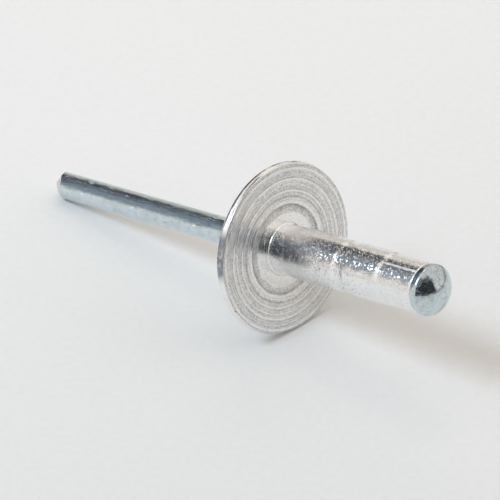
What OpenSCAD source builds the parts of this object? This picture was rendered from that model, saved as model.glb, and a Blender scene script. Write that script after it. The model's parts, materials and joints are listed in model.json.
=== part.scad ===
// Blind rivet with a large flange and a multi-grip shank, not yet set.
// An aluminium body, which is the flange and the tubular shank in one piece,
// is threaded on a steel mandrel: a wire with a domed head that seats on the shank's end.
// Both pieces are drawn upright along Z, with Z = 0 on the flange's underside and the head on top,
// and are then laid as the rivet comes to rest: on a small flat of the rim and on the mandrel's end.
// The model's origin is the centre of the bottom of its bounding box.

/* [Flange] */
// Diameter of the flange
flange_d = 16; // [13:0.5:20]
// Height of the flange from its underside to the crown of its domed top
flange_h = 2.05; // [1.6:0.05:2.6]
// Length of the straight part of the rim, between its two rounded edges
rim_land = 0.44; // [0.3:0.02:0.6]
// Radius of the rim's edge on the underside
rim_front_round = 0.08; // [0.04:0.01:0.15]
// Radius of the rim's edge on the domed side
rim_back_round = 0.3; // [0.15:0.01:0.4]
// Width of the small flat worn on the rim, on which the rivet lies
rest_flat = 1.8; // [1.6:0.1:2.4]
// Depth of the countersink where the mandrel leaves the flange
mouth_chamfer = 0.15; // [0.05:0.01:0.3]

/* [Rings pressed into the underside] */
// Diameter of the flat land round the shank, where the groove begins
land_d = 7.0; // [6.4:0.1:7.4]
// Outer diameter of the deep groove round the land
groove_d = 8.5; // [8.2:0.1:9.5]
// Depth of that groove
groove_depth = 0.1; // [0.04:0.01:0.15]
// Number of ring steps between the groove and the rim
ring_count = 3; // [1:1:5]
// Distance from the outermost ring step to the rim
ring_margin = 0.4; // [0.2:0.05:0.6]
// Depth of each ring step
ring_depth = 0.05; // [0.02:0.01:0.08]
// Width of the steep wall of the groove and of each ring step
ring_wall = 0.12; // [0.06:0.01:0.16]

/* [Shank] */
// Nominal diameter of the shank
shank_d = 4.8; // [4.7:0.05:5.2]
// Length of the shank from the flange's underside to its end
shank_len = 18; // [16.5:0.5:24]
// Diameter of the slimmer neck under the flange
root_d = 4.62; // [4.4:0.02:4.7]
// Length of that neck
root_len = 2; // [1:0.1:3]
// Radius of the fillet between the neck and the flange
root_fillet = 0.1; // [0.05:0.01:0.2]
// Distance from the flange's underside to the crimp band
crimp_start = 8.1; // [6:0.1:8.6]
// Length of the crimp band
crimp_len = 1.45; // [1:0.05:2]
// Diameter at the bottom of the crimp band
crimp_d = 4.66; // [4.5:0.02:4.7]
// Length of the pressed tail next to the mandrel's head
tail_len = 4.15; // [3:0.05:5]
// Diameter of the pressed tail
tail_d = 4.62; // [4.5:0.02:4.7]
// Length of the slopes that lead into the neck, the crimp band and the tail
slope_len = 0.3; // [0.1:0.05:0.4]
// Chamfer round the shank's end
end_chamfer = 0.07; // [0.03:0.01:0.12]
// Width of the seam that each pair of pressing dies leaves along the tail
seam_w = 0.14; // [0.08:0.02:0.2]
// Height of that seam above the tail
seam_h = 0.03; // [0.01:0.01:0.05]
// Distance that each seam stops short of the tail's ends
seam_stop = 0.15; // [0.13:0.01:0.4]
// Angle that the body lies turned by, as its first seam shows: from the top towards the front
body_turn = 28; // [0:1:90]

/* [Mandrel] */
// Diameter of the mandrel's stem
stem_d = 2.52; // [2.3:0.02:2.6]
// Length of stem that stands out of the flange
stem_out = 29.2; // [24:0.2:36]
// Gap between the stem and the bore of the body, all round
bore_clearance = 0.05; // [0.03:0.01:0.1]
// Gap left under the crimp band and in the tail, where the body grips the stem
grip_clearance = 0.01; // [0.005:0.005:0.02]
// Diameter of the mandrel's head
head_d = 4.72; // [4.5:0.02:4.9]
// Height of the mandrel's head
head_h = 1.84; // [1.6:0.02:2.2]
// Radius of the dome of the head
dome_r = 2.9; // [2.6:0.05:3.4]
// Radius of the shoulder between the dome and the head's side
shoulder_r = 0.35; // [0.2:0.05:0.5]
// Diameter of the neck where the mandrel breaks when the rivet is set
break_d = 1.7; // [1.4:0.05:1.9]
// Distance from the underside of the head to the middle of that neck
break_depth = 2.6; // [2:0.1:3.2]
// Length of the neck's bottom and of each of its slopes
break_len = 0.35; // [0.2:0.05:0.5]

/* [Nipped point of the mandrel] */
// Length of the point along its upper facet
point_top = 0.7; // [0.3:0.05:1]
// Length of the point along its lower facet
point_bottom = 1.25; // [0.8:0.05:1.6]
// Length of the point along its two side facets
point_side = 1.5; // [1:0.05:1.8]
// Angle of the upper facet from the top of the lying rivet, away from the front
point_turn = 34; // [0:1:60]

/* [Hidden] */
$fn = 96;
// Overshoot of the cutting solids
over = 1;
// Number of short lines that draw each rounded edge
arc_steps = 8;

// The flange: the ball that gives its domed top touches the round of the rim
flange_r = flange_d / 2;
rim_arc_r = flange_r - rim_back_round;
rim_arc_z = -(rim_front_round + rim_land);
crown_rise = flange_h + rim_arc_z;
crown_r = (rim_arc_r ^ 2 + crown_rise ^ 2 - rim_back_round ^ 2) / (2 * (crown_rise - rim_back_round));
crown_z = crown_r - flange_h;
crown_touch = atan2(rim_arc_z - crown_z, rim_arc_r);

// The ring steps divide the face between the groove and the rim evenly
ring_pitch = (flange_r - ring_margin - groove_d / 2) / ring_count;

// The shank
shank_r = shank_d / 2;
root_r = root_d / 2;
crimp_end = crimp_start + crimp_len;
tail_start = shank_len - tail_len;
tail_r = tail_d / 2;

// The mandrel: the shoulder touches the head's side and the dome
stem_r = stem_d / 2;
bore_r = stem_r + bore_clearance;
grip_r = stem_r + grip_clearance;
tip_z = -(flange_h + stem_out);
head_r = head_d / 2;
dome_z = shank_len + head_h - dome_r;
shoulder_rad = head_r - shoulder_r;
shoulder_z = dome_z + sqrt((dome_r - shoulder_r) ^ 2 - shoulder_rad ^ 2);
shoulder_touch = atan2(shoulder_z - dome_z, shoulder_rad);
break_z = shank_len - break_depth;

// How the rivet lies: the flat on the rim and the lower end of the stem reach the floor together.
// The angle depends on where the nipped point touches, so it is found by repeating the estimate.
point_lengths = [point_top, point_side, point_bottom, point_side];
settling_rounds = 12;
rest_round = rim_back_round - rest_flat ^ 2 / (8 * flange_r);
function facet_turn(i) = 90 * i - point_turn;
function point_reach(angle) = max([for (i = [0:3]) point_lengths[i] * cos(angle - facet_turn(i))]);
function stem_drop(lean) = max([
    for (angle = [90:270])
        -point_reach(angle) * sin(lean) - stem_r * cos(angle) * cos(lean)
]);
function next_lean(lean) =
    atan2(rim_arc_r + (rest_round - stem_drop(lean)) / cos(lean), rim_arc_z - tip_z);
function settle(lean, rounds) = rounds < 1 ? lean : settle(next_lean(lean), rounds - 1);
tilt = settle(0, settling_rounds);
floor_z = rim_arc_z * sin(tilt) - rim_arc_r * cos(tilt) - rest_round;
front_x = dome_z * cos(tilt) + dome_r;
rear_x = tip_z * cos(tilt);

// Points of an arc from angle a to angle b, both measured from the outward direction
function arc(r, z, radius, a, b) = [
    for (i = [0:arc_steps])
        let (angle = a + (b - a) * i / arc_steps)
            [r + radius * cos(angle), z + radius * sin(angle)]
];

// Lay an upright piece down: its X side goes up, its Y side to the front
module laid() {
    translate([-(front_x + rear_x) / 2, 0, -floor_z])
        rotate([0, 90 - tilt, 0])
            rotate([0, 0, 180])
                children();
}

// Half outline of the flange, from the crown over the rim and along the ringed underside
module flange_outline() {
    crown = arc(0, crown_z, crown_r, -90, crown_touch);
    back_round = arc(rim_arc_r, rim_arc_z, rim_back_round, crown_touch, 0);
    front_round = arc(flange_r - rim_front_round, -rim_front_round, rim_front_round, 0, 90);
    steps = [
        for (i = [ring_count:-1:1])
            let (r = groove_d / 2 + i * ring_pitch)
                each [[r, 0], [r - ring_wall, -ring_depth]]
    ];
    groove = [
        [groove_d / 2, 0],
        [groove_d / 2 - ring_wall, -groove_depth],
        [land_d / 2, 0]
    ];
    polygon(concat(crown, back_round, front_round, steps, groove, [[0, 0]]));
}

// Half outline of the shank, from the fillet at the flange to its chamfered end
module shank_outline() {
    fillet = arc(root_r + root_fillet, root_fillet, root_fillet, 270, 180);
    polygon(concat(
        [[0, -rim_land], [root_r + root_fillet, -rim_land]],
        fillet,
        [
            [root_r, root_len - slope_len],
            [shank_r, root_len],
            [shank_r, crimp_start],
            [crimp_d / 2, crimp_start + slope_len],
            [crimp_d / 2, crimp_end - slope_len],
            [shank_r, crimp_end],
            [shank_r, tail_start - slope_len],
            [tail_r, tail_start],
            [tail_r, shank_len - end_chamfer],
            [tail_r - end_chamfer, shank_len],
            [0, shank_len]
        ]
    ));
}

// The two seams of the pressing dies, on opposite sides of the tail
module tail_seams() {
    for (side = [0, 180])
        rotate([0, 0, side])
            translate([0, -seam_w / 2, tail_start + seam_stop])
                cube([tail_r + seam_h, seam_w, tail_len - 2 * seam_stop]);
}

// Half outline of the bore, narrowed where the crimp band and the tail grip the stem
module bore_outline() {
    polygon([
        [0, -flange_h - over],
        [bore_r + mouth_chamfer + over, -flange_h - over],
        [bore_r, mouth_chamfer - flange_h],
        [bore_r, crimp_start],
        [grip_r, crimp_start + slope_len],
        [grip_r, crimp_end - slope_len],
        [bore_r, crimp_end],
        [bore_r, tail_start - slope_len],
        [grip_r, tail_start],
        [grip_r, shank_len + over],
        [0, shank_len + over]
    ]);
}

// Everything below the floor, which takes the small flat off the rim
module below_floor() {
    translate([-shank_len, -flange_d, -flange_d])
        cube([2 * shank_len, 2 * flange_d, flange_d]);
}

// The body: flange and tubular shank, forged in one piece
module rivet_body() {
    color([0.82, 0.82, 0.80])
        difference() {
            laid()
                rotate([0, 0, body_turn])
                    difference() {
                        union() {
                            rotate_extrude() flange_outline();
                            rotate_extrude() shank_outline();
                            tail_seams();
                        }
                        rotate_extrude() bore_outline();
                    }
            below_floor();
        }
}

// Half outline of the mandrel, from the end of its stem over the break neck to the dome
module mandrel_outline() {
    shoulder = arc(shoulder_rad, shoulder_z, shoulder_r, 0, shoulder_touch);
    dome = arc(0, dome_z, dome_r, shoulder_touch, 90);
    polygon(concat(
        [
            [0, tip_z],
            [stem_r, tip_z],
            [stem_r, break_z - 1.5 * break_len],
            [break_d / 2, break_z - break_len / 2],
            [break_d / 2, break_z + break_len / 2],
            [stem_r, break_z + 1.5 * break_len],
            [stem_r, shank_len],
            [head_r - end_chamfer, shank_len],
            [head_r, shank_len + end_chamfer]
        ],
        shoulder,
        dome
    ));
}

// Everything beyond one slanting facet of the nipped point
module point_facet(length, turn) {
    rotate([0, 0, turn])
        translate([0, 0, tip_z])
            rotate([0, -atan2(length, stem_r), 0])
                translate([-stem_d, -stem_d, -stem_d])
                    cube([3 * stem_d, 2 * stem_d, stem_d]);
}

// The mandrel: stem and head, drawn from one wire
module mandrel() {
    color([0.68, 0.73, 0.76])
        laid()
            difference() {
                rotate_extrude() mandrel_outline();
                for (i = [0:3])
                    point_facet(point_lengths[i], facet_turn(i));
            }
}

rivet_body();
mandrel();
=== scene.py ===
# %% [markdown]
# # A blind rivet, lying on a pale table
#
# This lesson dresses a small piece of hardware: a blind rivet with a wide thin flange.
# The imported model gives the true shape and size, and it is the fixed frame of the scene.
# We add what a camera sees from close by: the rings pressed into the flange, the tumbled
# and crimped shank, the zinc on the steel mandrel, the soft light and the pale table.

# %% Load the fixed frame
import json
import math

import bpy
from mathutils import Matrix, Vector

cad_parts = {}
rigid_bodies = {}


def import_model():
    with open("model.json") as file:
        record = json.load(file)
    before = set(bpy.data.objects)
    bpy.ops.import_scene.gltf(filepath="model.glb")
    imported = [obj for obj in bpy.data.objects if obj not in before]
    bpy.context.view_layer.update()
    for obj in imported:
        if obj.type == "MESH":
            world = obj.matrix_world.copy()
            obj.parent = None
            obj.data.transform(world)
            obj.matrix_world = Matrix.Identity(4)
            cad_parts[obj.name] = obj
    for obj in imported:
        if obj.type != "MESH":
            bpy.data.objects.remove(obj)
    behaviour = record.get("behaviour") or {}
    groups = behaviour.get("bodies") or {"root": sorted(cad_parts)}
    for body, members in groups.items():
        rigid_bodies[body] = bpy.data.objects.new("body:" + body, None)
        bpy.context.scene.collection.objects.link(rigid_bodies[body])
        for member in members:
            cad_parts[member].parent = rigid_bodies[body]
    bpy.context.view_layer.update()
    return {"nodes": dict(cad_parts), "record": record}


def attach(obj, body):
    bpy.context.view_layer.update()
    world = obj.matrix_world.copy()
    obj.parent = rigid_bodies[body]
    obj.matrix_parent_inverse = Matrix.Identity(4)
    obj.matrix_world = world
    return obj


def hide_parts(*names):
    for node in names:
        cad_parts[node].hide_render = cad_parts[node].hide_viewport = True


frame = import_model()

print("nodes of the frame:", sorted(frame["nodes"]))

# %% [markdown]
# ## The rivet's own axis
#
# The rivet doesn't lie level. It rests on the rim of its flange and on the end of its stem,
# so its axis rises towards the head. Everything turned is easier to model upright, in
# millimetres, with Z along the axis and Z = 0 on the flange's underside. One matrix then
# lays the finished piece down. The record's flat-face mount holds both the direction of
# the axis and a point on the underside, so nothing has to be measured from the mesh.

# %% Build the matrix that lays a piece down
MM = 0.001
seat = next(m for m in frame["record"]["mounts"] if m["kind"] == "flat_face")
SEAT_RADIUS = 3.0
axis = Vector(seat["axis"]).normalized()
to_front = Vector((0, -1, 0))
to_top = to_front.cross(axis)
middle = Vector(seat["pos_m"]) - SEAT_RADIUS * MM * to_top
laid = Matrix((
    (to_top.x, to_front.x, axis.x, middle.x),
    (to_top.y, to_front.y, axis.y, middle.y),
    (to_top.z, to_front.z, axis.z, middle.z),
    (0, 0, 0, 1),
))
print("the axis rises by", round(math.degrees(math.asin(axis.z)), 2), "degrees")

# %% [markdown]
# ## Turning a piece on a lathe of its own
#
# Both pieces are round, so each starts as half an outline and is spun round the axis. We
# add a plane, merge it to one point, extrude that point along the outline and spin the
# chain. The spin leaves a seam and piled-up points at the poles, so doubles are merged,
# and only then can the normals be recalculated.

# %% A helper that spins an outline into a closed piece
SIDES = 192


def deselect():
    bpy.ops.object.select_all(action="DESELECT")


def turned(name, outline, sides=SIDES):
    deselect()
    bpy.ops.mesh.primitive_plane_add(size=1)
    piece = bpy.context.object
    piece.name = piece.data.name = name
    bpy.ops.object.mode_set(mode="EDIT")
    bpy.ops.mesh.select_all(action="SELECT")
    bpy.ops.mesh.merge(type="CENTER")
    bpy.ops.transform.translate(value=(outline[0][0], 0, outline[0][1]))
    for here, there in zip(outline, outline[1:]):
        step = (there[0] - here[0], 0, there[1] - here[1])
        bpy.ops.mesh.extrude_vertices_move(TRANSFORM_OT_translate={"value": step})
    bpy.ops.mesh.select_all(action="SELECT")
    bpy.ops.mesh.spin(steps=sides, angle=2 * math.pi, center=(0, 0, 0), axis=(0, 0, 1))
    bpy.ops.mesh.select_all(action="SELECT")
    bpy.ops.mesh.remove_doubles(threshold=0.0004)
    bpy.ops.mesh.normals_make_consistent(inside=False)
    bpy.ops.object.mode_set(mode="OBJECT")
    print(name, "turned:", len(piece.data.vertices), "points,", len(piece.data.polygons), "faces")
    return piece


# %% Helpers that draw rounded outlines
def arc(r, z, radius, start, end, steps=10):
    turns = [math.radians(start + (end - start) * i / steps) for i in range(steps + 1)]
    return [(r + radius * math.cos(a), z + radius * math.sin(a)) for a in turns]


def eased(points, cut=0.27):
    """Cut every corner of an open outline once, so that it bends softly."""
    softer = [points[0]]
    for (r0, z0), (r1, z1) in zip(points, points[1:]):
        softer.append((r0 + cut * (r1 - r0), z0 + cut * (z1 - z0)))
        softer.append((r1 - cut * (r1 - r0), z1 - cut * (z1 - z0)))
    return softer + [points[-1]]


# %% [markdown]
# ## The body: a ringed flange and a crimped shank
#
# The body is cold-forged from aluminium. The press leaves rings on the flange's underside:
# a smooth land round the shank, one deep groove, and terraces that each end in a short
# steep wall towards the middle. The photograph shows where the rings lie, so the outline
# carries them in true relief, where a bump would look flat from the side. The front of the
# rim ends in a shallow cone, which catches the light as a thin bright line. The shank has a
# slim neck, a crimped band that grips the stem, and a pressed tail under the head.

# %% Outline of the domed top and the rim
FLANGE_HEIGHT = 2.05
RIM_RADIUS = 8.0
CROWN_RADIUS = 25.017
BORE_RADIUS = 1.31
MOUTH = 0.15


def crown(r):
    return (r, CROWN_RADIUS - FLANGE_HEIGHT - math.sqrt(CROWN_RADIUS ** 2 - r ** 2))


rim_cone = [(RIM_RADIUS, -0.47), (RIM_RADIUS - 0.012, -0.42), (RIM_RADIUS - 0.115, -0.17)]
top_and_rim = (
    [(BORE_RADIUS, MOUTH - FLANGE_HEIGHT), crown(BORE_RADIUS + MOUTH)]
    + [crown(r) for r in (2.4, 3.4, 4.4, 5.3, 6.2, 7.0)]
    + arc(RIM_RADIUS - 0.3, -0.52, 0.3, -71.8, 0, 9)
    + rim_cone
    + arc(RIM_RADIUS - 0.20, -0.115, 0.09, 14, 80, 6)
)
print("from the bore over the rim:", len(top_and_rim), "points")

# %% Outline of the ringed underside, from the rim inwards
underside = eased([
    (7.80, -0.016), (7.76, -0.008), (7.70, -0.008), (7.62, 0.0), (7.43, 0.0), (7.38, -0.004),
    (7.26, -0.020), (7.18, -0.025), (7.12, -0.024), (6.95, -0.018), (6.80, -0.010),
    (6.74, -0.014), (6.66, -0.004), (6.58, 0.0), (6.44, 0.0), (6.39, -0.004), (6.27, -0.021),
    (6.18, -0.026), (6.12, -0.025), (5.95, -0.018), (5.72, -0.010), (5.66, -0.014),
    (5.60, -0.004), (5.53, 0.0), (5.39, 0.0), (5.34, -0.004), (5.22, -0.024), (5.14, -0.031),
    (5.08, -0.031), (5.03, -0.030), (4.97, -0.026), (4.90, -0.040), (4.75, -0.024),
    (4.60, -0.010), (4.50, -0.014), (4.42, -0.002), (4.30, 0.0), (4.22, -0.012), (4.14, -0.088),
    (4.06, -0.104), (3.90, -0.098), (3.72, -0.072), (3.56, -0.036), (3.44, -0.010),
    (3.36, 0.0), (3.10, 0.004), (2.90, 0.0), (2.70, 0.003), (2.55, -0.006), (2.46, -0.012),
])
print("underside:", len(underside), "points")

# %% Outline of the shank, from its root to the end on which the head sits
shank = arc(2.41, 0.10, 0.10, 262, 180, 5) + eased([
    (2.31, 0.25), (2.305, 0.60), (2.31, 1.10), (2.325, 1.50), (2.35, 1.90), (2.38, 2.25),
    (2.398, 2.55), (2.40, 3.0), (2.396, 4.2), (2.40, 5.4), (2.397, 6.6), (2.40, 7.6),
    (2.40, 8.08), (2.385, 8.18), (2.345, 8.42), (2.33, 8.60), (2.33, 8.95), (2.338, 9.15),
    (2.35, 9.32), (2.38, 9.50), (2.40, 9.60), (2.40, 10.4), (2.396, 11.4), (2.398, 12.05),
    (2.388, 12.14), (2.396, 12.24), (2.40, 12.6), (2.40, 13.40), (2.385, 13.55),
    (2.33, 13.80), (2.308, 13.92), (2.305, 14.3), (2.31, 15.2), (2.303, 16.1),
    (2.31, 17.0), (2.31, 17.80), (2.30, 17.92),
]) + [(2.27, 17.97), (2.235, 18.0), (1.272, 18.0)]
print("shank:", len(shank), "points")

# %% Outline of the bore, and the spin
bore = [
    (1.272, 13.85), (BORE_RADIUS, 13.55), (BORE_RADIUS, 9.55), (1.272, 9.25),
    (1.272, 8.40), (BORE_RADIUS, 8.10), (BORE_RADIUS, MOUTH - FLANGE_HEIGHT),
]
body = turned("forged_body", top_and_rim + underside + shank + bore)

# %% [markdown]
# ## What the press left off centre
#
# The rings aren't quite concentric with the shank: on one side they lie a tenth of a
# millimetre further out. The points between the land and the rim are moved by a share
# that fades to nothing at both, so the rim stays round and the land stays flat. The same
# press has two dies, and where they met along the tail they left a fine raised seam. It
# is drawn from a column of points that are already there.

# %% Shift the rings off centre
RING_SHIFT = 0.09
RING_SHIFT_TURN = math.radians(150)


def fade(x, low, high):
    t = min(1, max(0, (x - low) / (high - low)))
    return t * t * (3 - 2 * t)


shift = Vector((math.cos(RING_SHIFT_TURN), math.sin(RING_SHIFT_TURN), 0)) * RING_SHIFT
moved = 0
for point in body.data.vertices:
    r = point.co.xy.length
    if point.co.z > -0.15 and 3.0 < r < 7.85:
        point.co += shift * fade(r, 3.0, 3.8) * (1 - fade(r, 7.3, 7.85))
        moved += 1
print("points of the rings moved:", moved)

# %% Raise the two die seams along the tail
SEAM_TURN = 24
SEAM_FROM, SEAM_TO = 14.25, 17.86
column = 2 * math.pi / SIDES
raised = 0
for point in body.data.vertices:
    r = point.co.xy.length
    if r > 2.2 and SEAM_FROM - 0.4 < point.co.z < SEAM_TO + 0.1:
        turn = math.atan2(point.co.y, point.co.x) / column
        near = min(abs(turn), abs(abs(turn) - SIDES / 2))
        along = fade(point.co.z, SEAM_FROM - 0.3, SEAM_FROM) * (1 - fade(point.co.z, SEAM_TO, 17.97))
        if near < 1.5:
            height = (0.035 if near < 0.5 else 0.012) * along
            point.co.xy *= 1 + height / r
            raised += 1
print("points of the seams raised:", raised)

# %% [markdown]
# ## Laying a piece down
#
# The body is first turned about its own axis, so that the seam faces where the photograph
# shows it, and then laid down by the matrix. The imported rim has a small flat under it. A
# real rim is round: the flat was added so that the part comes to rest in the simulation.
# Here it is one bisect at the table's height that throws away the sliver below and fills
# the cut, and the same cut keeps every piece above the table.

# %% A helper that turns a piece, lays it down and fits it to its node
def make_active(piece):
    deselect()
    piece.select_set(True)
    bpy.context.view_layer.objects.active = piece


def finish_piece(piece, node, turn=0):
    piece.data.transform(Matrix.Rotation(math.radians(turn), 4, "Z"))
    piece.data.transform(laid @ Matrix.Scale(MM, 4))
    make_active(piece)
    bpy.ops.object.mode_set(mode="EDIT")
    bpy.ops.mesh.select_all(action="SELECT")
    bpy.ops.mesh.bisect(
        plane_co=(0, 0, 0), plane_no=(0, 0, -1), clear_outer=True, use_fill=True, threshold=1e-7)
    bpy.ops.object.mode_set(mode="OBJECT")
    bpy.ops.object.shade_smooth_by_angle(angle=math.radians(28))
    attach(piece, "root")
    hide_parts(node)
    corners = [point.co for point in piece.data.vertices]
    low = [round(min(c[i] for c in corners) / MM, 3) for i in range(3)]
    high = [round(max(c[i] for c in corners) / MM, 3) for i in range(3)]
    print(piece.name, "from", low, "to", high, "mm")


finish_piece(body, "rivet_body", SEAM_TURN)

# %% [markdown]
# ## The mandrel: a drawn wire with a domed head
#
# The mandrel is steel wire. One end is upset into the head that will be pulled into the
# shank, the other end is nipped off by the machine that made it, which leaves a blunt
# point of six small facets. The head is spun with the stem. Each facet is one bisect that
# throws away what lies outside it and fills the cut, and it is given by how far it reaches
# along the wire and by its turn round the axis.

# %% Outline of the mandrel
STEM_RADIUS = 1.26
TIP = -31.25
HEAD_SEAT = 18.0
DOME_CENTRE = 16.94
mandrel_outline = (
    [(0, TIP)]
    + [(STEM_RADIUS * s, TIP) for s in (0.5, 1.0)]
    + [(STEM_RADIUS, z) for z in (-30, -24, -18, -12, -6, 0, 6, 12, 14.87)]
    + [(0.85, 15.225), (0.85, 15.575), (STEM_RADIUS, 15.93), (STEM_RADIUS, HEAD_SEAT)]
    + [(2.20, HEAD_SEAT), (2.30, 18.012), (2.345, 18.05), (2.36, 18.10), (2.36, 18.30)]
    + arc(2.01, 18.509, 0.35, 0, 37.98, 7)
    + arc(0, DOME_CENTRE, 2.9, 42, 90, 18)
)
mandrel = turned("drawn_mandrel", mandrel_outline, sides=128)

# %% Nip the end of the wire with six cuts
FACETS = [(0.70, -34), (1.40, 22), (1.80, 56), (1.65, 112), (1.25, 146), (1.50, 236)]


def cut_facet(piece, length, turn):
    slope = math.atan2(STEM_RADIUS, length)
    around = math.radians(turn)
    flat = math.cos(slope)
    out = Vector((math.cos(around) * flat, math.sin(around) * flat, -math.sin(slope)))
    make_active(piece)
    bpy.ops.object.mode_set(mode="EDIT")
    bpy.ops.mesh.select_all(action="SELECT")
    bpy.ops.mesh.bisect(plane_co=(0, 0, TIP), plane_no=out, clear_outer=True, use_fill=True)
    bpy.ops.object.mode_set(mode="OBJECT")


for length, turn in FACETS:
    cut_facet(mandrel, length, turn)
print("lowest point of the nipped end:", round(min(p.co.z for p in mandrel.data.vertices), 3))

# %% Soften the cut edges and lay the mandrel down
bevel = mandrel.modifiers.new("worn edges", "BEVEL")
bevel.width = 0.018
bevel.segments = 2
bevel.limit_method = "ANGLE"
bevel.angle_limit = math.radians(32)
bpy.ops.object.modifier_apply(modifier=bevel.name)
finish_piece(mandrel, "mandrel")

# %% [markdown]
# ## A small language for shader maths
#
# A shader that knows where it is on the rivet needs a good deal of arithmetic. Nodes for
# that are tedious to write one by one, so a small class wraps a socket and overloads the
# operators. An expression on values then adds its own Math nodes. Any other node comes
# from one method of the finish: it takes the node's type, then its settings, then the
# values or links of its sockets.

# %% The class that wraps a socket
class Signal:
    def __init__(self, finish, socket):
        self.finish = finish
        self.socket = socket

    def math(self, operation, *others, clamp=False):
        values = [self] + list(others)
        settings = {"operation": operation, "use_clamp": clamp}
        return self.finish.node("ShaderNodeMath", settings, dict(enumerate(values)))["Value"]

    def __add__(self, other):
        return self.math("ADD", other)

    __radd__ = __add__

    def __mul__(self, other):
        return self.math("MULTIPLY", other)

    __rmul__ = __mul__

    def __sub__(self, other):
        return self.math("SUBTRACT", other)

    def __rsub__(self, other):
        return (self * -1).math("ADD", other)

    def __truediv__(self, other):
        return self.math("DIVIDE", other)

    def __pow__(self, other):
        return self.math("POWER", other)

    def step(self, low, high):
        """0 below low, 1 above high, and a soft rise between them."""
        settings = {"interpolation_type": "SMOOTHSTEP", "clamp": True}
        inputs = {"Value": self, "From Min": low, "From Max": high}
        return self.finish.node("ShaderNodeMapRange", settings, inputs)["Result"]

    def band(self, low, high, soft):
        """1 between low and high, and 0 outside them."""
        return self.step(low - soft, low + soft) * (1 - self.step(high - soft, high + soft))


# %% The class that holds one finish
class Finish:
    def __init__(self, name):
        self.material = bpy.data.materials.new(name)
        self.material.use_nodes = True
        self.tree = self.material.node_tree
        self.tree.nodes.clear()

    def node(self, kind, settings=None, inputs=None):
        made = self.tree.nodes.new(kind)
        for key, value in (settings or {}).items():
            setattr(made, key, value)
        for key, value in (inputs or {}).items():
            if isinstance(value, Signal):
                self.tree.links.new(value.socket, made.inputs[key])
            else:
                made.inputs[key].default_value = value
        found = {}
        for out in made.outputs:
            if out.enabled or out.name not in found:
                found[out.name] = Signal(self, out)
        return found

    def mix(self, share, one, two):
        made = self.tree.nodes.new("ShaderNodeMix")
        made.data_type = "RGBA"
        for place, value in ((0, share), (6, one), (7, two)):
            if isinstance(value, Signal):
                self.tree.links.new(value.socket, made.inputs[place])
            elif place == 0:
                made.inputs[place].default_value = value
            else:
                made.inputs[place].default_value = (*value, 1)
        return Signal(self, made.outputs[2])

    def vectors(self, operation, one, two):
        return self.node("ShaderNodeVectorMath", {"operation": operation}, {0: one, 1: two})

    def noise(self, vector, scale, detail=2, roughness=0.5, distortion=0):
        inputs = {"Vector": vector, "Scale": scale, "Detail": detail, "Roughness": roughness,
                  "Distortion": distortion}
        return self.node("ShaderNodeTexNoise", {}, inputs)["Fac"]

    def facets(self, vector, scale):
        """Small flat facets: their height where each leans its own way, and two random values."""
        inputs = {"Vector": vector, "Scale": scale, "Randomness": 1.0}
        cells = self.node("ShaderNodeTexVoronoi", {"feature": "F1"}, inputs)
        away = self.vectors("SUBTRACT", vector, cells["Position"])["Vector"]
        lean = self.vectors("SUBTRACT", cells["Color"], (0.5, 0.5, 0.5))["Vector"]
        height = self.vectors("DOT_PRODUCT", away, lean)["Value"]
        chance = self.node("ShaderNodeSeparateColor", {}, {"Color": cells["Color"]})
        return height, chance["Red"], chance["Blue"]

    def stretch(self, vector, scale):
        inputs = {"Vector": vector, "Scale": scale}
        return self.node("ShaderNodeMapping", {}, inputs)["Vector"]

    def tip(self, direction, amount):
        """The surface's own normal, tipped a varying amount along one fixed direction."""
        own = self.node("ShaderNodeNewGeometry")["Normal"]
        push = self.node("ShaderNodeVectorMath", {"operation": "SCALE"}, {0: direction, "Scale": amount})
        both = self.vectors("ADD", own, push["Vector"])["Vector"]
        return self.node("ShaderNodeVectorMath", {"operation": "NORMALIZE"}, {0: both})["Vector"]

    def bump(self, height, normal=None):
        """A bump whose height is given in millimetres, on top of a normal if there is one."""
        inputs = {"Height": height, "Distance": MM}
        if normal is not None:
            inputs["Normal"] = normal
        return self.node("ShaderNodeBump", {}, inputs)["Normal"]

    def dress(self, piece, inputs):
        """Finish the material with these inputs, and give it to the piece as its only one."""
        shader = self.node("ShaderNodeBsdfPrincipled", {}, inputs)["BSDF"]
        self.node("ShaderNodeOutputMaterial", {}, {"Surface": shader})
        piece.data.materials.clear()
        piece.data.materials.append(self.material)
        print(self.material.name, "has", len(self.tree.nodes), "nodes")


# %% A helper that gives a finish the rivet's upright millimetres
def upright(finish):
    place = finish.node("ShaderNodeTexCoord")["Object"]
    inputs = {"Vector": place, "Location": middle, "Rotation": laid.to_euler(), "Scale": (MM, MM, MM)}
    return finish.node("ShaderNodeMapping", {"vector_type": "TEXTURE"}, inputs)["Vector"]


def round_the_axis(finish, vector):
    parts = finish.node("ShaderNodeSeparateXYZ", {}, {"Vector": vector})
    x, y, z = parts["X"], parts["Y"], parts["Z"]
    radius = (x * x + y * y).math("SQRT")
    angle = y.math("ARCTAN2", x)
    return x, y, z, radius, angle


# %% [markdown]
# ## Forged aluminium
#
# One metal makes the whole body, and its finish changes from place to place. The punch left
# the flange's underside dull and grainy, but burnished the land and the edge of every
# terrace, so narrow mirror rings alternate with grey ones. The shank was pushed through a
# die and then tumbled with many others, which left it covered with small facets. The rim
# and the die seams are smooth. So the finish is relief, polish and tint over one metal,
# picked apart by the radius, the angle and the height along the axis.

# %% Aluminium: where each region lies
aluminium = Finish("forged aluminium")
mm = upright(aluminium)
x, y, z, radius, angle = round_the_axis(aluminium, mm)
before_edge = z.step(-0.16, -0.14)
on_shank = (1 - radius.step(2.46, 2.52)) * z.step(-0.03, 0.02)
on_rim = radius.step(7.83, 7.88)
under_face = before_edge * (1 - on_shank) * (1 - on_rim)
on_crown = (1 - before_edge) * (1 - on_rim)
past_root = z.step(0.20, 0.45)
on_rough_shank = 1 - z.step(7.6, 8.3)
on_tail = z.step(13.6, 14.0)


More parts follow.
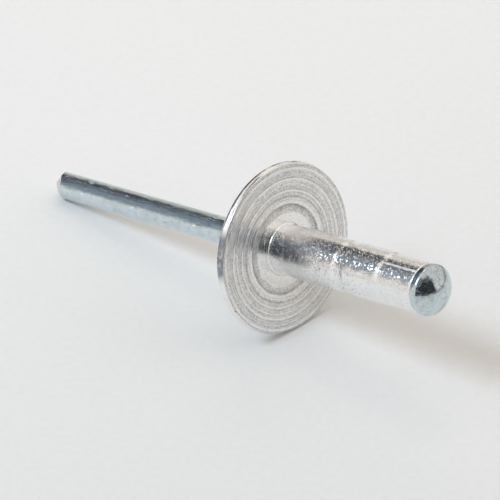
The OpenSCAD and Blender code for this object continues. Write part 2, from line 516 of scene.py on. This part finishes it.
def turn_band(low, high, soft):
    """1 between two turns round the axis, in degrees."""
    return angle.band(math.radians(low), math.radians(high), soft)


print("regions of the body: rim, underside, crown, root, rough shank, tail")

# %% [markdown]
# The rings of the finish follow the shifted rings of the shape. Each is given by its
# radius, half its width and its strength. The dark strokes at the foot of the terrace walls
# are a painted dark reflection, strongest in the streak where the shank's reflection crosses
# them. They are tint, set to match the photograph.

# %% Aluminium: the punch's rings
BURNISHED_RINGS = [
    (3.00, 0.50, 1.0), (4.42, 0.12, 1.0), (4.70, 0.05, 0.7), (5.45, 0.06, 1.0),
    (6.04, 0.09, 0.35), (6.50, 0.07, 1.0), (7.50, 0.07, 1.0),
]
DULL_RINGS = [
    (4.93, 0.09, 0.8), (5.27, 0.05, 0.3), (5.62, 0.05, 0.45), (5.84, 0.07, 0.55),
    (6.22, 0.06, 0.35), (6.67, 0.05, 0.6), (6.90, 0.06, 0.6), (7.20, 0.07, 0.4),
    (7.67, 0.06, 0.6), (7.85, 0.07, 0.8),
]
PAINTED_REFLECTION_STROKES = [
    (4.96, 0.05, 0.9), (5.30, 0.03, 0.6), (5.64, 0.045, 0.9), (6.20, 0.03, 0.5),
    (6.70, 0.045, 0.9), (7.22, 0.03, 0.6),
]
ring_x = x - RING_SHIFT * math.cos(RING_SHIFT_TURN)
ring_y = y - RING_SHIFT * math.sin(RING_SHIFT_TURN)
ring_radius = (ring_x * ring_x + ring_y * ring_y).math("SQRT")
ring_place = aluminium.node("ShaderNodeCombineXYZ", {}, {"X": ring_radius, "Y": angle * 0.35})["Vector"]
fine_rings = aluminium.noise(ring_place, 9.5, 4, 0.68)


def rings(marks, soft):
    total = 0
    for ring, half, strength in marks:
        total = strength * ring_radius.band(ring - half, ring + half, soft) + total
    return total


uneven = aluminium.noise(mm, 0.45, 3, 0.6).step(0.3, 0.65)
burnished = rings(BURNISHED_RINGS, 0.035) * under_face * (0.6 + 0.4 * uneven)
dull = rings(DULL_RINGS, 0.045) * under_face * (1.1 - 0.6 * uneven)
# The groove's darkening is partly its grain and partly painted shade in the recess.
groove = 0.70 * ring_radius.step(3.55, 4.05) + 0.75 * ring_radius.step(4.04, 4.12)
groove = groove * (1 - ring_radius.step(4.17, 4.25)) * under_face * (0.75 + 0.5 * uneven)
in_streak = turn_band(40, 62, 0.10) * under_face
# Painted dark reflection: dark strokes at the terrace walls, much stronger in the streak.
painted_reflection_strokes = 0.38 * under_face + 1.35 * in_streak * fine_rings.step(0.38, 0.55)
painted_reflection_strokes = rings(PAINTED_REFLECTION_STROKES, 0.02) * painted_reflection_strokes
print("rings:", len(BURNISHED_RINGS), "burnished,", len(DULL_RINGS), "dull,", len(PAINTED_REFLECTION_STROKES), "dark")

# %% Aluminium: grain of the forged faces
forged_skin = aluminium.noise(mm, 1.6, 4, 0.6)
grit_lean, grit, _ = aluminium.facets(mm, 11.0)
pits = aluminium.noise(mm, 7.0, 3, 0.7).step(0.58, 0.72)
face_height = (
    0.022 * fine_rings * (1 - 0.85 * burnished)
    + 0.13 * grit_lean * (1 - 0.9 * burnished + 1.2 * groove)
    - 0.02 * pits
)
rim_height = 0.03 * grit_lean + 0.02 * forged_skin + 0.03 * fine_rings * on_crown
print("grain drawn on the underside, the rim and the crown")

# %% [markdown]
# A tumbled facet sparkles because it leans far from the shank's own slope, but most facets
# hardly lean at all. A bump can't show the few that lean far without roughening the rest,
# so they tip the normal along the axis instead, by the fifth power of a random value. The
# crimp and the scuffs beside it sparkle most.

# %% Aluminium: facets of the tumbled shank
shank_lean, glint, _ = aluminium.facets(mm, 6.5)
fine_lean, fine_chance, fine_glint = aluminium.facets(mm, 13.5)
dents = aluminium.noise(mm, 1.3, 3, 0.5)
drawn = aluminium.noise(aluminium.stretch(mm, (1, 1, 0.15)), 6.0, 3, 0.6)
scuffs = aluminium.noise(mm, 1.4, 3, 0.6).step(0.48, 0.58) * z.band(8.3, 11.2, 0.3)
lean = fine_chance * 2 - 1
squared = lean * lean
far_lean = squared * squared * lean * (1 - 0.15 * on_tail)
far_lean = far_lean * (0.26 + 0.12 * z.step(4.6, 6.0) + 0.26 * scuffs)
lengthwise = (far_lean + 0.05 * lean) * past_root
sparkle = (0.03 + 0.06 * on_rough_shank) * past_root
shank_height = (0.5 * shank_lean + 0.5 * fine_lean) * sparkle + 0.03 * dents + 0.006 * drawn
print("facets, dents and draw lines drawn on the shank")

# %% Aluminium: one relief for the whole body
tipped = aluminium.tip(axis, lengthwise * on_shank)
height = face_height * under_face + shank_height * on_shank + rim_height * (on_rim + on_crown)
relief = aluminium.bump(height, tipped)
print("relief put together")

# %% [markdown]
# The tint is nearly even on the shank and the crown. The underside is darker in the dull
# rings and in the groove, where the darkening is partly grain and partly painted shade, and
# paler in the streak, a painted lightening. The shank's side is painted grey near its root
# and beside the crimp, and the rim is painted dark in two broken stretches: both are painted
# dark reflections. It can't be told whether the metal is rubbed and tarnished there or
# mirrors something dark. Here it is tint.

# %% Aluminium: tint
PAINTED_REFLECTION_GREY = (0.19, 0.22, 0.28)
RIM_REFLECTION_GREY = (0.20, 0.23, 0.27)
speckle = 0.60 * (grit - 0.5) - 0.45 * pits
# Painted light: the streak is painted paler, and the dark strokes and part of the groove's darkening are
# painted shade.
shade = 0.73 + 0.14 * in_streak + 0.27 * burnished - 0.34 * dull - 0.34 * groove - 0.55 * painted_reflection_strokes
shade = shade + (fine_rings - 0.5 + speckle) * (1 - 0.5 * burnished)
face_metal = aluminium.mix(shade.step(-0.15, 1.1), (0.38, 0.37, 0.36), (0.93, 0.925, 0.915))

metal = aluminium.mix(forged_skin.step(0.3, 0.7), (0.89, 0.89, 0.89), (0.95, 0.945, 0.94))
# Painted dark reflection on the shank's side, near the root and beside the crimp; a few facets are left
# bright.
painted_dark_reflection = turn_band(38, 82, 0.16) * z.step(0.2, 0.6) * (1 - z.step(3.2, 6.4))
painted_dark_reflection = painted_dark_reflection + 0.55 * turn_band(12, 38, 0.12) * z.band(4.4, 8.1, 0.5)
painted_dark_reflection = painted_dark_reflection * (1 - 0.9 * glint.step(0.78, 0.90)) * (0.45 + 0.55 * fine_chance)
metal = aluminium.mix(painted_dark_reflection, metal, PAINTED_REFLECTION_GREY)
broken = aluminium.noise(mm, 1.1, 4, 0.7).step(0.36, 0.56)
# Painted dark reflection on the rim, in two broken stretches.
painted_rim_reflection = turn_band(58, 88, 0.08) * (0.5 + 0.5 * broken)
painted_rim_reflection = painted_rim_reflection + z.band(-0.60, -0.38, 0.03) * turn_band(-22, 50, 0.10) * broken
metal = aluminium.mix(0.9 * painted_rim_reflection * on_rim, metal, RIM_REFLECTION_GREY)

crown_lines = aluminium.noise(ring_place, 5.0, 4, 0.65)
crown_metal = aluminium.mix(crown_lines.step(0.3, 0.7), (0.70, 0.695, 0.685), (0.86, 0.855, 0.845))
metal = aluminium.mix(under_face, metal, face_metal)
metal = aluminium.mix(on_crown, metal, crown_metal)
print("tints of the shank, the rim, the underside and the crown mixed")

# %% Aluminium: polish
face_polish = 0.31 - 0.21 * burnished + 0.06 * dull + 0.12 * groove
seam_turn = math.radians(SEAM_TURN)
seam_gap = (x * math.sin(seam_turn) - y * math.cos(seam_turn)).math("ABSOLUTE")
seam = (1 - seam_gap.step(0.05, 0.12)) * on_tail
shank_polish = 0.13 + 0.10 * fine_glint * fine_glint + 0.06 * on_tail + 0.34 * seam
polish = face_polish * under_face + shank_polish * on_shank + 0.17 * on_rim
polish = polish + (0.20 + 0.14 * crown_lines) * on_crown
print("polish of each region set")

# %% [markdown]
# A few specks of dirt stick to the flange's edge. Each is a place and a radius in
# millimetres. Dirt isn't metal, so it takes the metallic look away too.

# %% Aluminium: specks of dirt, and the finished material
SPECKS = [
    ((-3.24, 7.18, -0.03), 0.10), ((7.83, -1.43, -0.06), 0.09), ((2.23, 7.65, -0.60), 0.13),
    ((1.80, 7.76, -0.62), 0.11), ((2.02, 7.70, -0.52), 0.08),
]
dirt = 0
for spot, size in SPECKS:
    away = aluminium.vectors("DISTANCE", mm, spot)["Value"]
    dirt = (1 - away.step(0.6 * size, size)) + dirt
metal = aluminium.mix(dirt, metal, (0.05, 0.04, 0.03))
polish = polish + 0.4 * dirt
inputs = {"Base Color": metal, "Metallic": 1 - dirt, "Roughness": polish, "Normal": relief}
aluminium.dress(body, inputs)

# %% [markdown]
# ## Zinc on drawn steel
#
# The wire was drawn through a die, which leaves long faint lines, and then plated with
# zinc. The plating is pale blue-grey. On the stem it grew in long crystals, so it is
# mottled and each crystal shines its own way. The head was upset before it was plated: it
# has fine wrinkles in relief, and the plating on it is cloudy and cracked in places. Its
# upper side is painted darker, a painted shade. The cracks are only tint, because in relief
# they would break up the head's clean reflections.

# %% Steel: draw lines and crystals of the stem
steel = Finish("zinc plated steel")
mm = upright(steel)
x, y, z, radius, angle = round_the_axis(steel, mm)
on_head = z.step(17.9, 18.0)
draw_lines = steel.noise(steel.stretch(mm, (1, 1, 0.06)), 5.0, 3, 0.6)
mottle = steel.noise(steel.stretch(mm, (1, 1, 0.45)), 4.5, 4, 0.65)
crystal_lean, crystal, crystal_shine = steel.facets(steel.stretch(mm, (1, 1, 0.3)), 5.0)
stem_height = 0.010 * draw_lines + 0.02 * mottle + 0.10 * crystal_lean
stem_dark = 0.12 * crystal + 0.55 * mottle.step(0.50, 0.66)
print("draw lines and crystals drawn on the stem")

# %% Steel: wrinkles, cracks and clouds of the head
wrinkles = steel.noise(steel.stretch(mm, (1, 0.5, 1)), 3.0, 4, 0.62, 0.4)
head_lean, _, _ = steel.facets(mm, 5.0)
head_height = 0.020 * wrinkles + 0.05 * head_lean
patches = steel.noise(mm, 0.9, 2).step(0.45, 0.55)
cracks = steel.noise(mm, 1.5, 5, 0.7, 1.2).band(0.465, 0.500, 0.012) * (0.35 + 0.65 * patches)
# Painted shade: the head's upper side is painted darker.
painted_top_shade = angle.math("COSINE").step(0.25, 0.8) * radius.step(0.6, 1.5)
clouds = steel.noise(mm, 3.2, 5, 0.7)
head_dark = 0.8 * cracks + 0.30 * painted_top_shade + 0.5 * clouds
print("wrinkles, cracks and clouds drawn on the head")

# %% Steel: the finished material
plating = steel.noise(mm, 1.1, 3, 0.6)
zinc = steel.mix(plating.step(0.3, 0.7), (0.61, 0.69, 0.725), (0.71, 0.785, 0.82))
darker = stem_dark * (1 - on_head) + head_dark * on_head - 0.2
zinc = steel.mix(darker, zinc, (0.30, 0.34, 0.35))
polish = 0.12 + 0.08 * plating + 0.10 * crystal_shine.step(0.4, 0.9) * (1 - on_head) - 0.05 * on_head
relief = steel.bump(stem_height * (1 - on_head) + head_height * on_head)
inputs = {"Base Color": zinc, "Metallic": 1.0, "Roughness": polish, "Normal": relief}
steel.dress(mandrel, inputs)

# %% [markdown]
# ## The table
#
# The rivet lies on matt white card. A wide plane is enough: its colour makes the pale
# background, and it also gives the metal most of what it reflects. The card's colour carries
# painted light: it is painted paler behind the rivet than in front of it, as the light falls
# off, and painted grey far to the left, a painted shade that only the metal sees. Faint
# fibres keep it from looking like paint.

# %% Floor
deselect()
bpy.ops.mesh.primitive_plane_add(size=6)
table = bpy.context.object
table.name = "table"
bpy.ops.object.mode_set(mode="EDIT")
bpy.ops.mesh.subdivide(number_cuts=3)
bpy.ops.object.mode_set(mode="OBJECT")
print("table laid, 6 m wide")

# %% Card
HALF_TURN = math.sqrt(0.5)
card = Finish("matt white card")
place = card.node("ShaderNodeTexCoord")["Object"]
fibres = card.noise(place, 1400.0, 3, 0.6)
light_fibres = fibres.step(0.3, 0.7)
blotches = card.noise(place, 60.0, 3, 0.55)
parts = card.node("ShaderNodeSeparateXYZ", {}, {"Vector": place})
backwards = (parts["Y"] - parts["X"]) * HALF_TURN + 0.012 * blotches
leftwards = (parts["X"] + parts["Y"]) * -HALF_TURN
# Painted light: darker near the camera, paler behind, and a painted grey shade far to the left.
near_white_painted_shade = card.mix(light_fibres, (0.775, 0.770, 0.765), (0.795, 0.790, 0.785))
far_white_painted_light = card.mix(light_fibres, (0.915, 0.905, 0.895), (0.935, 0.925, 0.915))
white = card.mix(backwards.step(-0.085, 0.075), near_white_painted_shade, far_white_painted_light)
white = card.mix(leftwards.step(0.03, 0.16), white, (0.56, 0.555, 0.55))
rough = card.bump(0.012 * fibres)
inputs = {"Base Color": white, "Roughness": 0.9, "Specular IOR Level": 0.2, "Normal": rough}
card.dress(table, inputs)

# %% [markdown]
# ## Light
#
# Two soft lamps make the two shadows of the photograph: a weak warm one high behind the
# rivet, and a stronger cool one in front on the left. The cool lamp's shadow falls to the
# right, where only the warm light reaches, so it looks brownish. A pale room fills the rest.

# %% Lamps
def lamp(name, direction, distance, size, power, colour):
    light = bpy.data.lights.new(name, "AREA")
    light.shape = "DISK"
    light.size = size
    light.energy = power
    light.color = colour
    holder = bpy.data.objects.new(name, light)
    bpy.context.scene.collection.objects.link(holder)
    towards = Vector(direction).normalized()
    holder.location = towards * distance
    holder.rotation_euler = (-towards).to_track_quat("-Z", "Y").to_euler()
    print(name, "at", [round(v, 3) for v in holder.location])
    return holder


LAMP_DISTANCE = 0.8
lamp("warm lamp above", (-0.235, 0.222, 0.946), LAMP_DISTANCE, 0.20, 0.22, (1.0, 0.97, 0.72))
lamp("cool lamp left", (-0.148, -0.611, 0.778), LAMP_DISTANCE, 0.26, 2.55, (0.72, 0.86, 1.0))

# %% Room light
world = bpy.data.worlds.new("room")
bpy.context.scene.world = world
world.use_nodes = True
background = world.node_tree.nodes["Background"]
background.inputs["Color"].default_value = (0.91, 0.865, 0.815, 1)
background.inputs["Strength"].default_value = 1.0
print("room colour", [round(v, 3) for v in background.inputs["Color"].default_value[:3]])

# %% [markdown]
# ## What the metal mirrors
#
# Bare metal has little colour of its own. It shows what stands round it, and the bands in
# the photograph tell where that was dark: behind the camera, above it, and on the left.
# Each dark place is a curved screen, a piece of a wide upright drum round the table. One
# upright edge is spun through the screen's turn, and the screen is given by its turns and
# its rises as seen from the rivet, in degrees, and by its shade. The lowest ones stand
# where the shank's side mirrors the far edge of the table.

# %% A helper that stands a curved screen round the table
SCREEN_DISTANCE = 0.62


def screen(name, turns, rises, shade):
    deselect()
    bpy.ops.mesh.primitive_plane_add(size=1)
    board = bpy.context.object
    board.name = name
    bottom, top = (SCREEN_DISTANCE * math.tan(math.radians(rise)) for rise in rises)
    start, end = (math.radians(turn) for turn in turns)
    foot = (SCREEN_DISTANCE * math.cos(start), SCREEN_DISTANCE * math.sin(start), bottom)
    bpy.ops.object.mode_set(mode="EDIT")
    bpy.ops.mesh.select_all(action="SELECT")
    bpy.ops.mesh.merge(type="CENTER")
    bpy.ops.transform.translate(value=foot)
    bpy.ops.mesh.extrude_vertices_move(TRANSFORM_OT_translate={"value": (0, 0, top - bottom)})
    bpy.ops.mesh.select_all(action="SELECT")
    bpy.ops.mesh.spin(steps=24, angle=end - start, center=(0, 0, 0), axis=(0, 0, -1))
    bpy.ops.object.mode_set(mode="OBJECT")
    cloth = Finish(name)
    cloth.dress(board, {"Base Color": (*shade, 1), "Roughness": 0.9, "Specular IOR Level": 0.0})
    print(name, "from", turns[0], "to", turns[1], "degrees, up to", round(top, 3), "m")


# %% Screens round the table
screen("dark screen behind the camera", (-40, 16), (-1, 44), (0.02, 0.022, 0.025))
screen("grey screen above the camera", (-42, 16), (44, 61), (0.17, 0.185, 0.20))
screen("dark screen left of the camera", (-66, -40), (-1, 36), (0.04, 0.05, 0.06))
screen("grey screen above it", (-66, -40), (36, 56), (0.28, 0.30, 0.31))
screen("dark screen on the left", (150, 173), (4, 54), (0.075, 0.085, 0.095))
screen("grey screen on the left", (173, 196), (4, 54), (0.14, 0.17, 0.205))
screen("blue screen on the left", (196, 224), (4, 44), (0.27, 0.33, 0.39))
screen("pale screen at the back on the left", (127, 150), (3, 24), (0.74, 0.70, 0.63))
screen("low screen on the right", (18, 96), (-1, 5), (0.10, 0.10, 0.10))
screen("low screen at the back", (96, 126), (-1, 9), (0.12, 0.12, 0.115))

# %% [markdown]
# ## Camera
#
# The camera looks down on the rivet from the side of its head, half a metre away, through
# a long lens. Its place and its direction were found by matching the outlines of the
# flange, the shank and the head with the photograph.

# %% Camera
CAMERA_PLACE = Vector((0.2976726, -0.2967531, 0.2846253))
CAMERA_FORWARD = Vector((-0.588814, 0.588784, -0.553742))
camera_data = bpy.data.cameras.new("camera")
camera = bpy.data.objects.new("camera", camera_data)
bpy.context.scene.collection.objects.link(camera)
forward = CAMERA_FORWARD.normalized()
right = forward.cross(Vector((0, 0, 1))).normalized()
above = right.cross(forward)
turn = Matrix((right, above, -forward)).transposed().to_4x4()
camera.matrix_world = Matrix.Translation(CAMERA_PLACE) @ turn
camera_data.sensor_width = 36
camera_data.lens = 397.32
camera_data.clip_start = 0.01
bpy.context.scene.camera = camera
print("camera at", [round(v, 4) for v in camera.location])

# %% [markdown]
# Last comes the plain view transform, which shows colours as they are set.

# %% View settings
scene = bpy.context.scene
scene.view_settings.view_transform = "Standard"
